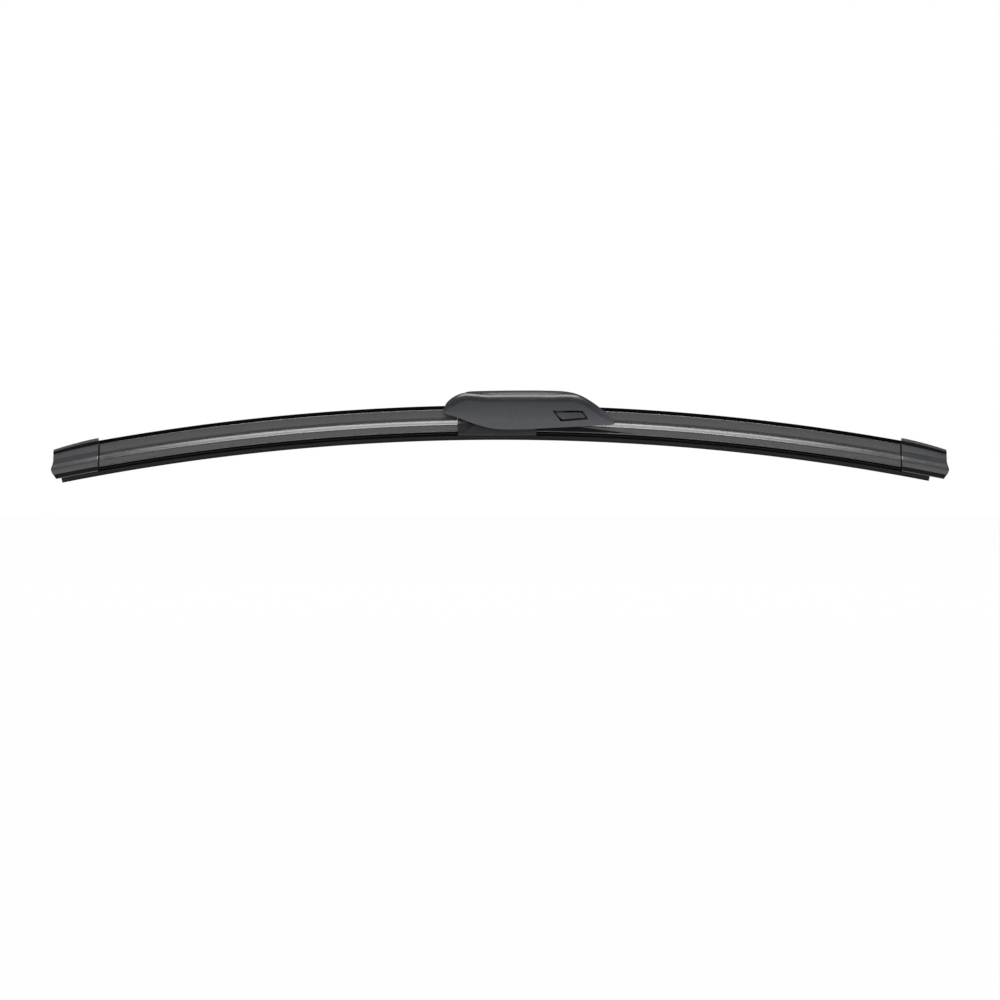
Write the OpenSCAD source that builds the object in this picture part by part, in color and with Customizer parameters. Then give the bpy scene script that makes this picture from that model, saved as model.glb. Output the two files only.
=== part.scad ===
// Flat-beam wiper blade with a spoiler and an arm adapter, 21 inch size.
// X runs along the blade, Y across it, Z up from the glass. The near side is -Y.
// The origin is on the seat that the wiper arm rests on, over the blade's pivot.
// Heights named _h are measured from the wiping edge at the middle of the blade.
// Sections are drawn as [height above the wiping edge, distance towards the near side].

/* [Blade] */
// Radius of the wiping edge when the blade hangs free
arc_r = 1372; // [1000:1:2400]
// From the pivot to the free end of each end cap
blade_half = 272.7; // [230:0.1:330]
// From the left cap's free end to the rubber's left end
rubber_inset_left = 6.6; // [6.6:0.1:14]
// From the right cap's free end to the rubber's right end
rubber_inset_right = 12; // [6.6:0.1:14]

/* [Rubber] */
// Width of the wiping lip at its edge
lip_w = 0.7; // [0.5:0.05:1]
// Height of the wedge's shoulders above the wiping edge
wedge_h = 2.3; // [1.6:0.05:2.6]
// Width over the wedge's shoulders
wedge_w = 4.2; // [3:0.1:5]
// Width of the neck that lets the lip flip over
neck_w = 0.9; // [0.6:0.05:1.2]
// Width of the body under the rails
rubber_w = 6.2; // [5:0.1:6.3]
// Width of the head above the rails
head_w = 5.2; // [4:0.1:5.6]
// Thickness of the head above the rails
head_t = 1.2; // [0.8:0.1:1.4]

/* [Rails] */
// Height of the rails' underside above the wiping edge
rail_h = 6.1; // [5.6:0.05:6.4]
// Thickness of a rail
rail_t = 0.9; // [0.7:0.05:1]
// Width of a rail
rail_w = 3.8; // [3.4:0.1:4]
// Gap between the two rails
rail_gap = 1.8; // [1.4:0.1:2.2]
// Length of the notch near each rail's end
notch_len = 4; // [2:0.5:6]
// Depth of that notch
notch_d = 0.8; // [0.4:0.1:1]

/* [Spoiler] */
// Height of the spoiler's tip above the wiping edge
spoiler_h = 21.1; // [19.5:0.1:21.4]
// Height of the soft tip itself
tip_h = 1.9; // [1:0.1:2.5]
// Thickness of the spoiler under the soft tip
ridge_t = 2.6; // [2:0.1:3]
// Offset of the ridge towards the far side
ridge_offset = 0.9; // [0:0.1:1.5]
// Wall between a rail's edge and the outside
claw_wall = 1.5; // [1.2:0.05:1.7]
// Thickness of the claw under the rails
claw_t = 0.85; // [0.6:0.05:1]
// How far the claw's lip stands out from the side above it
claw_lip_out = 0.3; // [0.1:0.05:0.4]
// Height at which the upright side ends and the hollow face begins
side_h = 8.9; // [8.4:0.1:9.5]
// Height at which the hollow face meets the flat upper band
band_h = 14.3; // [13:0.1:15.5]

/* [End caps] */
// Length of an end cap
cap_len = 28.6; // [25:0.1:32]
// Wall of an end cap over the spoiler
cap_wall = 1.3; // [1:0.1:1.5]
// Height of the cap's bottom above the wiping edge
cap_bottom_h = 2.9; // [2.6:0.05:3.6]
// How far the spoiler reaches into the cap
cap_grip = 14; // [8:0.5:17]
// Solid end of the cap
cap_end = 6.2; // [4.5:0.1:6.4]
// Share of the ridge's height that the cap loses towards its free end
cap_fall = 0.24; // [0.1:0.01:0.35]
// How far the free end bulges out
cap_bulge = 1.2; // [0.4:0.1:1.6]
// Depth of the groove along the near side under the crest
cap_groove = 0.8; // [0.2:0.1:0.9]
// Slope of the chamfer at the free end's lower edge
cap_chamfer = 0.45; // [0.2:0.05:0.8]

/* [Connector base] */
// From the pivot to the base's left end
base_left = 25.5; // [24:0.1:28]
// From the pivot to the base's right end
base_right = 21.9; // [20:0.1:23]
// Width of the base
base_w = 15.4; // [14.8:0.1:15.7]
// Height of the base's bottom edge above the wiping edge
base_bottom_h = 2.9; // [2.5:0.05:3.2]
// Height of the base's deck above the wiping edge
base_deck_h = 9.9; // [9.3:0.1:10]
// Thickness of the base's end walls
base_end_t = 1.8; // [1.4:0.1:2.4]
// Length of the filled block at each end of the base
base_block = 13; // [6:0.5:14]
// Height of those blocks above the wiping edge
base_block_h = 17; // [13:0.1:17.4]
// Width of the hump that carries the pivot pin
hump_w = 6.8; // [5:0.1:7]

/* [Pivot] */
// Height of the pivot pin above the wiping edge
pin_h = 15; // [14.9:0.1:15.3]
// Diameter of the pivot pin
pin_d = 4.8; // [4:0.1:5.4]
// Length of the pivot pin
pin_len = 13.4; // [12.6:0.1:15]

/* [Arm adapter] */
// Height of the arm's seat above the wiping edge
seat_h = 22.8; // [22.7:0.1:23]
// Width of the socket for the arm's tongue
socket_w = 9.4; // [8.6:0.1:9.6]
// Depth of the socket, from the pivot to the stop
socket_right = 38.2; // [38:0.1:40]
// From the pivot to the front of the seat
seat_left = 20.5; // [16:0.5:21]
// From the pivot to the back of the seat
seat_right = 18.5; // [14:0.5:19]
// Wall of the adapter body
body_wall = 1.5; // [1.2:0.1:1.6]
// Thickness of the floor under the arm
floor_t = 1.8; // [1.2:0.1:1.9]
// Height of the adapter body's side walls above the seat
side_wall_h = 2.9; // [2:0.1:3]

/* [Adapter cover] */
// Width of the cover
cover_w = 20; // [19.6:0.1:22]
// Wall of the cover
cover_wall = 1.6; // [1.3:0.05:1.65]
// Rounding between side and roof
shoulder_r = 5; // [4:0.1:5.2]
// Crown of the roof from edge to middle
roof_crown = 0.7; // [0.2:0.1:1]
// Lean of the crowned sides where they meet the shoulders, in degrees
side_lean = 7; // [4:1:8]
// How far the sides draw in towards their lower edge
foot_tuck = 0.35; // [0.1:0.05:0.5]
// Thickness of the ribs that hold the adapter body
rib_t = 1.6; // [1:0.1:2.4]
// Distance of those ribs from the ends of the seat
rib_inset = 4; // [1:0.5:6]
// From the pivot to the back of the mouth that the arm enters by
mouth_left = 20.5; // [20:0.1:24]
// From the pivot to the start of the fork over the right spoiler
fork_right = 46.5; // [44:0.1:50]
// Width of the fork's slot at its start
fork_w = 7.2; // [6:0.1:9]
// Length of the slot's narrow part
fork_neck = 5.5; // [4:0.1:7]
// Length over which the slot opens to the spoiler's full width
fork_flare = 8; // [6:0.1:10]

/* [Release tabs] */
// Left end of a tab's button, at its upper corner
tab_left = 32.5; // [31:0.1:33]
// Length of the button
tab_len = 17.2; // [14:0.1:18]
// Height of the button's top edge above the wiping edge
tab_top_h = 17.1; // [17:0.1:17.7]
// Height of the button
tab_h = 5.2; // [4.5:0.1:6]
// How far the lower edge lies towards the tail
tab_slant = 4.8; // [2:0.1:6]
// How much shorter the lower edge is than the upper one
tab_narrow = 1.5; // [0:0.1:2.5]
// How much higher the lower edge ends than it starts
tab_rise = 1.2; // [0:0.1:1.6]
// Thickness of the button
tab_t = 1.6; // [1.2:0.1:1.7]
// Groove round the button
tab_gap = 1; // [0.6:0.05:1.1]
// Height of the tab's rocking axis above the wiping edge
rock_h = 20.2; // [20:0.05:20.4]
// Distance of the rocking axis from the middle plane
rock_y = 6.6; // [6.55:0.05:6.65]
// Diameter of the tab's trunnions
trunnion_d = 1.6; // [1.2:0.1:1.8]

/* [Fits] */
// Clearance where pieces are pushed together
push_gap = 0.05; // [0.02:0.01:0.08]
// Radial clearance of a turning fit
turn_gap = 0.05; // [0.02:0.01:0.08]
// Clearance beside a moving piece
side_gap = 0.3; // [0.2:0.05:0.4]

/* [Hidden] */

// Upper edge of the cover's side view, nose to tail, as [x, height above the seat]
cover_top = [[-34.4, -3.9], [-32.4, -0.2], [-28.6, 3.6], [-21.6, 6.3], [-9, 7.05], [12, 7.3],
             [29, 7.2], [41, 6.5], [50.3, 3.75], [60.6, -2.9], [67, -8.6], [69.5, -11.9]];
// Its lower edge, as [x, height above the wiping edge]
cover_foot = [[-34.2, 17.1], [-32.2, 15.6], [-25.5, 13.5], [-14.5, 9.4], [-2.5, 6.6], [14, 6.4],
              [28, 7.1], [42, 7.8], [53, 8.3], [62, 8.8], [67.4, 9.1], [69.4, 9.6]];
// How much narrower than the cover each of those places is, on each side
cover_tuck = [1.4, 0.8, 0.3, 0.05, 0, 0, 0, 0.1, 0.3, 0.7, 1.1, 1.3];

rubber_left = blade_half - rubber_inset_left;
rubber_right = blade_half - rubber_inset_right;
rail_top = rail_h + rail_t;
rail_edge = rail_gap / 2 + rail_w;
claw_h = rail_h - push_gap - claw_t;
claw_edge = rail_edge + claw_wall;
claw_lip = rubber_w / 2 + 0.35;
head_top = rail_top + push_gap + head_t;
cap_in = blade_half - cap_len;
cap_crest_h = spoiler_h + cap_wall + 0.36;
pocket_end = blade_half - cap_end;
rail_end = pocket_end - side_gap;
spoiler_end = cap_in + cap_grip;
leg_r = pin_h - base_deck_h - 0.5;
body_half = socket_w / 2 + body_wall;
tab_face = cover_w / 2 - 0.15;
inner_half = cover_w / 2 - cover_wall - 2 * side_gap;
ear_t = 1.6;
ear_top = seat_h - 0.8;
barrel_r = 1.2;
barrel_left = tab_left + 0.6;
barrel_len = 7.6;
barrel_right = barrel_left + barrel_len;
hook_x = barrel_left + 2;
hook_len = 3;

// Height above the origin of a place on the blade that lies h above the wiping edge
function rise(x, h) = sqrt((arc_r + h) * (arc_r + h) - x * x) - arc_r - seat_h;
function mix(a, b, t) = a + (b - a) * t;
function clamp(v, low, high) = max(low, min(high, v));
// A point on a smooth curve through the list's points, at place t from 0 to its last index
function smooth(list, t) =
    let (n = len(list) - 1, i = clamp(floor(t), 0, n - 1), f = t - i,
         a = list[i], b = list[i + 1],
         ta = i > 0 ? (b - list[i - 1]) / 2 : b - a,
         tb = i < n - 1 ? (list[i + 2] - a) / 2 : b - a)
    a * (2 * f * f * f - 3 * f * f + 1) + b * (3 * f * f - 2 * f * f * f)
    + ta * (f * f * f - 2 * f * f + f) + tb * (f * f * f - f * f);
// Points of a cubic curve between two ends with two handles
function bezier(p, q, r, s, steps) =
    [for (i = [0 : steps]) let (t = i / steps, u = 1 - t)
        p * u * u * u + q * 3 * u * u * t + r * 3 * u * t * t + s * t * t * t];
// A polygon's corners rounded by arcs of radius r
function rounded(pts, r, steps = 4) =
    let (n = len(pts))
    [for (i = [0 : n - 1])
        let (p = pts[i], a = pts[(i + n - 1) % n] - p, b = pts[(i + 1) % n] - p,
             ua = a / norm(a), ub = b / norm(b), half = acos(ua * ub) / 2,
             reach = r / tan(half), s = p + ua * reach, e = p + ub * reach)
        for (k = [0 : steps]) let (t = k / steps, u = 1 - t) s * u * u + p * 2 * u * t + e * t * t];

// Sweeps a section along the blade's arc from x0 to x1
module along_arc(x0, x1) {
    start = 90 - asin(x1 / arc_r);
    turn = asin(x1 / arc_r) - asin(x0 / arc_r);
    translate([0, 0, -seat_h - arc_r]) rotate([90, 0, 0])
        rotate_extrude(angle = turn, start = start, $fn = 720)
            translate([arc_r, 0]) children();
}

// Draws an outline of [x, height] points across the blade between two distances from the middle
module across(y0, y1) {
    translate([0, y1, -seat_h]) rotate([90, 0, 0]) linear_extrude(y1 - y0) children();
}

// A box given by its corners as [x, y, height]
module block(low, high) {
    translate([low.x, low.y, low.z - seat_h])
        cube([high.x - low.x, high.y - low.y, high.z - low.z]);
}

// A round bar along X or along Y
module bar_x(d, x0, x1, y, h) {
    translate([x0, y, h - seat_h]) rotate([0, 90, 0]) cylinder(d = d, h = x1 - x0, $fn = 48);
}
module bar_y(d, y0, y1, x, h) {
    translate([x, y1, h - seat_h]) rotate([90, 0, 0]) cylinder(d = d, h = y1 - y0, $fn = 64);
}

// A closed skin over rings of points, each going up the near side and down the far side in equal
// steps, so that strips between the two sides close the ends
module loft(rings) {
    n = len(rings[0]);
    top = (len(rings) - 1) * n;
    skin = [for (i = [0 : n : top - n]) for (j = [0 : n - 1])
        let (a = i + j, b = i + (j + 1) % n)
        each [[a, b, b + n], [a, b + n, a + n]]];
    first = [for (j = [0 : n / 2 - 2]) let (k = n - 1 - j) each [[j + 1, j, k], [j + 1, k, k - 1]]];
    last = [for (j = [0 : n / 2 - 2]) let (k = n - 1 - j)
        each [[top + j, top + j + 1, top + k], [top + j + 1, top + k - 1, top + k]]];
    polyhedron([for (ring = rings) each ring], concat(skin, first, last));
}

// Sections of the blade
module mirrored_section(half) {
    polygon(concat(half, [for (i = [len(half) - 1 : -1 : 0]) [half[i].x, -half[i].y]]));
}
module rubber_section() {
    web = rail_gap / 2 - push_gap;
    mirrored_section([
        [0, lip_w / 2], [wedge_h * 0.55, lip_w / 2 + 0.15], [wedge_h * 0.8, wedge_w / 2 - 0.25],
        [wedge_h, wedge_w / 2], [wedge_h + 0.5, wedge_w / 2], [wedge_h + 0.8, wedge_w / 2 - 0.3],
        [wedge_h + 0.9, neck_w / 2], [wedge_h + 1.5, neck_w / 2], [wedge_h + 1.7, rubber_w / 2 - 0.3],
        [wedge_h + 2, rubber_w / 2], [rail_h - push_gap, rubber_w / 2], [rail_h - push_gap, web],
        [rail_top + push_gap, web], [rail_top + push_gap, head_w / 2],
        [head_top - 0.4, head_w / 2], [head_top, head_w / 2 - 0.5]]);
}
module rail_section(side, grow = 0) {
    low = rail_gap / 2 - grow;
    translate([rail_h - grow, side > 0 ? low : -low - rail_w - 2 * grow])
        square([rail_t + 2 * grow, rail_w + 2 * grow]);
}
// Room for the rubber and both rails, open below
module tunnel_section(bottom) {
    translate([bottom, -claw_lip]) square([rail_h - push_gap - bottom, 2 * claw_lip]);
    translate([rail_h - push_gap, -rail_edge - push_gap])
        square([rail_t + 2 * push_gap, 2 * (rail_edge + push_gap)]);
    translate([rail_top, -head_w / 2 - 0.1]) square([head_top - rail_top + 0.15, head_w + 0.2]);
}
// Outside of the spoiler, grown by a wall where the end cap covers it
function spoiler_outline(grow = 0) =
    let (near = ridge_t / 2 - ridge_offset, far = ridge_t / 2 + ridge_offset,
         neck_h = spoiler_h - tip_h, e = claw_edge + grow, wall_e = e - claw_lip_out)
    concat(
        [[claw_h - grow, claw_edge - 1], [claw_h + 0.1, e - 0.3], [claw_h + 0.3, e], [claw_h + 0.45, e],
         [claw_h + 0.7, wall_e]],
        bezier([side_h, wall_e], [side_h + 0.9, e - 0.7], [band_h - 3.5, near + 0.9 + grow],
               [band_h, near + 0.7 + grow], 7),
        [[neck_h + grow * 0.4, near + grow], [neck_h + grow * 0.4 + 0.3, near - 0.35 + grow],
         [spoiler_h - 0.5 + grow, near - 0.5 + grow], [spoiler_h + grow, near - 0.95 + grow * 0.5],
         [spoiler_h + grow, -far + 0.95 - grow * 0.5], [spoiler_h - 0.5 + grow, -far + 0.5 - grow],
         [neck_h + grow * 0.4 + 0.3, -far + 0.35 - grow], [neck_h + grow * 0.4, -far - grow]],
        bezier([band_h, -far - 0.9 - grow], [band_h - 2.5, -far - 1.3 - grow],
               [side_h + 1.2, -e + 1], [side_h, -e + 0.1], 6),
        [[claw_h + 0.7, -e], [claw_h + 0.15, -e + 0.3], [claw_h - grow, -claw_edge + 1]]);
module spoiler_chamber() {
    floor_h = head_top + 1.4;
    near = ridge_t / 2 - ridge_offset;
    far = ridge_t / 2 + ridge_offset;
    polygon(rounded([[floor_h, claw_edge - 3.2], [floor_h, -claw_edge + 2.2], [band_h - 1, -far + 0.3],
                     [band_h + 1.2, -far / 2 + 0.2], [band_h - 1, near - 0.6]], 0.4, 3));
}

module wiper_rubber() {
    color([0.07, 0.07, 0.07]) along_arc(-rubber_left, rubber_right) rubber_section();
}

// A rail with a notch in its outer edge near each end, where the end caps catch
module rail(side) {
    color([0.45, 0.46, 0.48]) difference() {
        along_arc(-rail_end, rail_end) rail_section(side);
        for (end = [-1, 1]) along_arc(end * spoiler_end + (end > 0 ? 1 : -1 - notch_len),
                                      end * spoiler_end + (end > 0 ? 1 + notch_len : -1))
            translate([rail_h - 1, side > 0 ? rail_edge - notch_d : -rail_edge - 1])
                square([rail_t + 2, notch_d + 1]);
    }
}
module near_rail() { rail(1); }
module far_rail() { rail(-1); }

module spoiler(x0, x1) {
    color([0.16, 0.165, 0.17]) along_arc(x0, x1) difference() {
        polygon(spoiler_outline());
        tunnel_section(claw_h - 1);
        spoiler_chamber();
    }
}
module left_spoiler() { spoiler(-spoiler_end, -base_left - push_gap); }
module right_spoiler() { spoiler(base_right + push_gap, spoiler_end); }

// One side of the end cap's section, bottom to crest: undercut, side, and groove under the crest
function cap_side(edge, groove) =
    let (e = claw_edge + cap_wall, b = cap_bottom_h, crest = cap_crest_h)
    [[b, e - 2.2], [b + 0.4, e - 1.8], [b + 1.7, e - 1.5], [b + 2.1, e - 0.8], [b + 2.8, e - 0.7],
     [b + 3.1, e - 0.1], [b + 3.4, e], [side_h - 0.4, e - 0.25], [side_h + 1.2, e - 1.5],
     [side_h + 3, edge + 2], [band_h - 0.6, edge + 1], [band_h + 0.6, edge + 0.85],
     [crest - 3.9, edge + 0.25], [crest - 3.6, edge - groove], [crest - 2, edge - groove],
     [crest - 1.5, edge + 0.1], [crest - 0.5, edge], [crest, edge - 0.7]];
// One ring of the end cap's outside at share t of its length, from the inner edge to the free end
function cap_ring(t, shrink = 0) =
    let (near = cap_side(ridge_t / 2 - ridge_offset + cap_wall, cap_groove),
         far = cap_side(ridge_t / 2 + ridge_offset + cap_wall, 0),
         outline = concat(near, [for (i = [len(far) - 1 : -1 : 0]) [far[i].x, -far[i].y]]),
         drop = 1 - cap_fall * pow(t, 1.6), bulge_h = cap_bottom_h + 6.1, middle_h = cap_crest_h / 2)
    [for (p = outline)
        let (h = p.x > band_h ? band_h + (p.x - band_h) * drop : p.x,
             chamfer = cap_chamfer * max(0, cap_bottom_h + 3.8 - h),
             free = blade_half - cap_bulge * (1 - exp(-pow((h - bulge_h) / 3, 2))) - chamfer,
             x = mix(cap_in, free, t))
        [x + shrink * 1.6, -p.y * (1 - shrink), rise(x, mix(h, middle_h, shrink))]];
// The end cap, for the right end of the blade
module end_cap() {
    color([0.15, 0.155, 0.16]) difference() {
        loft([for (t = [0, 0.03, 0.2, 0.4, 0.6, 0.78, 0.9, 0.96]) cap_ring(t), cap_ring(1, 0.05),
              cap_ring(1, 0.12)]);
        along_arc(cap_in - 5, spoiler_end + side_gap) polygon(spoiler_outline(2 * push_gap));
        along_arc(cap_in - 5, pocket_end) tunnel_section(0);
    }
}
module right_end_cap() { end_cap(); }
module left_end_cap() { mirror([1, 0, 0]) end_cap(); }

// The moulding that grips the rails in the middle and carries the pivot pin
module connector_base() {
    w = base_w / 2;
    color([0.13, 0.13, 0.135]) difference() {
        union() {
            along_arc(-base_left, base_right)
                mirrored_section([[base_bottom_h, w - 0.6], [base_bottom_h + 0.6, w],
                                  [base_deck_h - 0.8, w], [base_deck_h, w - 0.8]]);
            for (x = [-base_left, base_right - base_end_t]) along_arc(x + 0.02, x + base_end_t - 0.02)
                base_end_section(0.02, spoiler_h);
            for (x = [-base_left, base_right - base_block]) along_arc(x + 0.04, x + base_block - 0.04)
                base_end_section(0.8, base_block_h);
            across(-hump_w / 2, hump_w / 2)
                polygon([[-11, base_deck_h - 0.6], [-9, base_deck_h + 1], [-leg_r * 0.85, pin_h],
                         [leg_r * 0.85, pin_h], [9, base_deck_h + 1], [11, base_deck_h - 0.6]]);
            bar_y(2 * leg_r, -hump_w / 2, hump_w / 2, 0, pin_h);
        }
        along_arc(-base_left - 1, base_right + 1) tunnel_section(0);
        for (side = [-1, 1]) scale_side(side) across(-w - 1, -claw_edge - 0.06)
            polygon(concat([[-base_left - 1, base_deck_h + 1], [-base_left - 1, base_bottom_h + 1.2]],
                bezier([-base_left + 1, base_bottom_h + 1.2], [-base_left + 6, base_bottom_h + 1.3],
                       [-base_left + 8, base_deck_h - 1.5], [-base_left + 12, base_deck_h + 1], 8)));
        bar_y(pin_d + push_gap, -hump_w, hump_w, 0, pin_h);
    }
}
// The spoiler's section drawn in, from the deck up to a height
module base_end_section(inset, top) {
    intersection() {
        polygon(spoiler_outline(-inset));
        translate([base_deck_h - 0.5, -base_w]) square([top - base_deck_h + 0.5, 2 * base_w]);
    }
}
module scale_side(side) {
    if (side < 0) mirror([0, 1, 0]) children();
    else children();
}

module pivot_pin() {
    half = pin_len / 2;
    color([0.6, 0.6, 0.62]) {
        bar_y(pin_d, -half + 0.4, half - 0.4, 0, pin_h);
        for (side = [-1, 1]) translate([0, side * (half - 0.4), pin_h - seat_h])
            rotate([-90 * side, 0, 0]) cylinder(d1 = pin_d, d2 = pin_d - 0.8, h = 0.4, $fn = 64);
    }
}

// The inner moulding: bearings for the pivot pin, seat and side walls for the arm's tongue
module adapter_body() {
    floor_h = seat_h - floor_t;
    wall_top = seat_h + side_wall_h;
    wall_end = barrel_right + side_gap + ear_t;
    leg_in = hump_w / 2 + side_gap;
    stop_end = socket_right + body_wall;
    stop_drop = 0.9;
    stop_lift = 0.9;
    color([0.22, 0.22, 0.23]) difference() {
        union() {
            block([-seat_left, -body_half, floor_h], [seat_right, body_half, seat_h]);
            block([socket_right, -body_half, seat_h + stop_lift],
                  [stop_end, body_half, wall_top - stop_drop]);
            for (side = [-1, 1]) scale_side(side) {
                across(-body_half, -socket_w / 2) polygon([
                    [-seat_left, floor_h], [-seat_left, wall_top], [socket_right - 2, wall_top],
                    [stop_end, wall_top - stop_drop], [stop_end, ear_top], [wall_end, ear_top],
                    [wall_end, floor_h]]);
                block([-leg_r, -body_half, pin_h], [leg_r, -leg_in, seat_h]);
                bar_y(2 * leg_r, -body_half, -leg_in, 0, pin_h);
                for (x = [barrel_left - side_gap - ear_t, barrel_right + side_gap])
                    block([x, -inner_half, rock_h - barrel_r - 0.3], [x + ear_t, -socket_w / 2, ear_top]);
            }
        }
        bar_y(pin_d + 2 * turn_gap, -body_half - 1, body_half + 1, 0, pin_h);
        for (side = [-1, 1]) scale_side(side) {
            bar_x(trunnion_d + 2 * turn_gap, barrel_left - 5, barrel_right + 5, -rock_y, rock_h);
            bar_x(2 * (barrel_r + side_gap), barrel_left - side_gap, barrel_right + side_gap,
                  -rock_y, rock_h);
            block([hook_x - 0.4, -body_half - 1, seat_h - 0.5],
                  [hook_x + hook_len + 0.4, -socket_w / 2 + 1, seat_h + 2]);
        }
    }
}

// Top point of the cover at place t along its outline, lowered by a wall for its inside
function cover_peak(t, wall) =
    let (top = smooth(cover_top, t) + [0, seat_h], rib = top - smooth(cover_foot, t))
    top - rib * min(wall / rib.y, 0.5);
// Half a ring of the cover there: foot, crowned side, shoulder and roof
function cover_half(t, wall = 0) =
    let (foot = smooth(cover_foot, t), high = cover_peak(t, wall), rib = high - foot, tall = rib.y,
         w = cover_w / 2 - smooth(cover_tuck, t) - wall,
         crown = min(roof_crown * clamp(t / 2 - 1.5, 0.02, 1), 0.2 * tall),
         r = min(shoulder_r - wall * 0.7, tall * 0.6),
         start = crown + r * (1 - sin(side_lean)), wide = mix(start, tall, 0.45),
         lean = tan(side_lean) * (wide - start) / 2, edge = w - lean + r * (1 - cos(side_lean)))
    [[foot.x, w - min(foot_tuck, 0.2 * tall), foot.y],
     for (p = concat([[w, wide], [w - lean / 4, (wide + start) / 2]],
                     [for (a = [side_lean : (72 - side_lean) / 4 : 72.01])
                         [edge - r * (1 - cos(a)), crown + r * (1 - sin(a))]],
                     [[edge - r, crown * 0.75], [(edge - r) / 2, crown * 0.2]]))
         let (at = high - rib * p.y / tall) [at.x, p.x, at.y]];
// The whole ring, from the near foot over the roof to the far foot
function cover_ring(t, wall = 0) =
    let (half = cover_half(t, wall), high = cover_peak(t, wall))
    concat([for (p = half) [p.x, -p.y, p.z - seat_h]], [[high.x, 0, high.y - seat_h]],
           [for (i = [len(half) - 1 : -1 : 0]) [half[i].x, half[i].y, half[i].z - seat_h]]);
// An open shell between outer and inner rings, closed along its feet and at both ends
module shell(outer, inner) {
    k = len(outer[0]);
    n = 2 * k;
    m = len(outer);
    pts = [for (i = [0 : m - 1]) each concat(outer[i], [for (j = [k - 1 : -1 : 0]) inner[i][j]])];
    skin = [for (i = [0 : m - 2]) for (j = [0 : n - 1])
        let (a = i * n + j, b = i * n + (j + 1) % n)
        each [[a, b, b + n], [a, b + n, a + n]]];
    first = [for (j = [0 : k - 2]) let (p = j, q = n - 1 - j) each [[p, q - 1, p + 1], [p, q, q - 1]]];
    last = [for (j = [0 : k - 2]) let (p = (m - 1) * n + j, q = (m - 1) * n + n - 1 - j)
        each [[p, p + 1, q - 1], [p, q - 1, q]]];
    polyhedron(pts, concat(skin, first, last));
}

function button_corners(grow) =
    let (low = tab_top_h - tab_h, right = tab_left + tab_len)
    [[tab_left - grow, tab_top_h + grow], [right + grow * 0.6, tab_top_h + grow],
     [right + tab_slant - tab_narrow + grow, low + tab_rise - grow],
     [tab_left + tab_slant - grow * 0.6, low - grow]];

// The moulded housing that the arm pushes into, forked over the spoiler at nose and tail
module adapter_cover() {
    last = len(cover_top) - 1;
    nose = cover_top[0].x - 10;
    gape = claw_edge + 1;
    fork_edge = [[cover_top[last].x + 10, gape], [fork_right + fork_neck + fork_flare, gape],
                 [fork_right + fork_neck, fork_w / 2 + 1], [fork_right + 1.5, fork_w / 2],
                 [fork_right, fork_w / 2 - 1.6]];
    places = [0, 0.3, 0.7, 1, 1.4, 1.8, 2.2, 2.6, 3, 3.3, 3.6, 4, 4.4, 5, 5.6, 6, 6.4, 6.8, 7.2, 7.6, 8,
              8.5, 9, 9.4, 9.8, 10.2, 10.6, last];
    color([0.24, 0.245, 0.25]) difference() {
        union() {
            shell([for (t = places) cover_ring(t)], [for (t = places) cover_ring(t, cover_wall)]);
            for (side = [-1, 1]) scale_side(side)
                for (x = [rib_inset - seat_left, seat_right - rib_inset - rib_t])
                block([x, -cover_w / 2 + cover_wall / 2, pin_h + 2],
                      [x + rib_t, -body_half - push_gap, seat_h + 1.5]);
        }
        // Mouth for the arm, and room for the left spoiler's end
        block([nose, -socket_w / 2 - 0.4, 0], [-mouth_left, socket_w / 2 + 0.4, 2 * seat_h]);
        block([nose, -claw_edge - 0.7, 0], [-base_left, claw_edge + 0.7, spoiler_h + 0.4]);
        // Fork over the right spoiler
        translate([0, 0, -seat_h]) linear_extrude(2 * seat_h) polygon(concat(
            [for (p = fork_edge) [p.x, -p.y]],
            [for (i = [len(fork_edge) - 1 : -1 : 0]) fork_edge[i]]));
        for (side = [-1, 1]) scale_side(side) across(-cover_w, -cover_w / 2 + 2 * cover_wall)
            polygon(rounded(button_corners(tab_gap / 2), 1.4));
    }
}

// A rocking tab: its button is pressed in, and its hook lets go of the arm's tongue
module release_tab() {
    back = tab_face - tab_t;
    link_h = 3;
    link_left = tab_left + tab_slant * link_h / tab_h + tab_gap;
    arm_inset = 0.6;
    color([0.2, 0.2, 0.21]) {
        across(-tab_face, -back) polygon(rounded(button_corners(-tab_gap / 2), 1.1));
        block([link_left, -back - 0.2, tab_top_h - link_h], [barrel_right, -rock_y + 0.6, tab_top_h - 0.6]);
        block([barrel_left + arm_inset, -inner_half, tab_top_h - 1.5],
              [barrel_right - arm_inset, -rock_y + 0.5, rock_h]);
        bar_x(2 * barrel_r, barrel_left, barrel_right, -rock_y, rock_h);
        bar_x(trunnion_d, barrel_left - ear_t, barrel_right + ear_t, -rock_y, rock_h);
        block([hook_x, -rock_y - 0.4, rock_h], [hook_x + hook_len, -body_half - 0.2, seat_h + 1.1]);
        block([hook_x, -rock_y - 0.4, seat_h + 0.1],
              [hook_x + hook_len, -socket_w / 2 + 0.6, seat_h + 1.1]);
    }
}
module near_release_tab() { release_tab(); }
module far_release_tab() { mirror([0, 1, 0]) release_tab(); }

wiper_rubber();
near_rail();
far_rail();
left_spoiler();
right_spoiler();
left_end_cap();
right_end_cap();
connector_base();
pivot_pin();
adapter_body();
adapter_cover();
near_release_tab();
far_release_tab();
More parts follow.
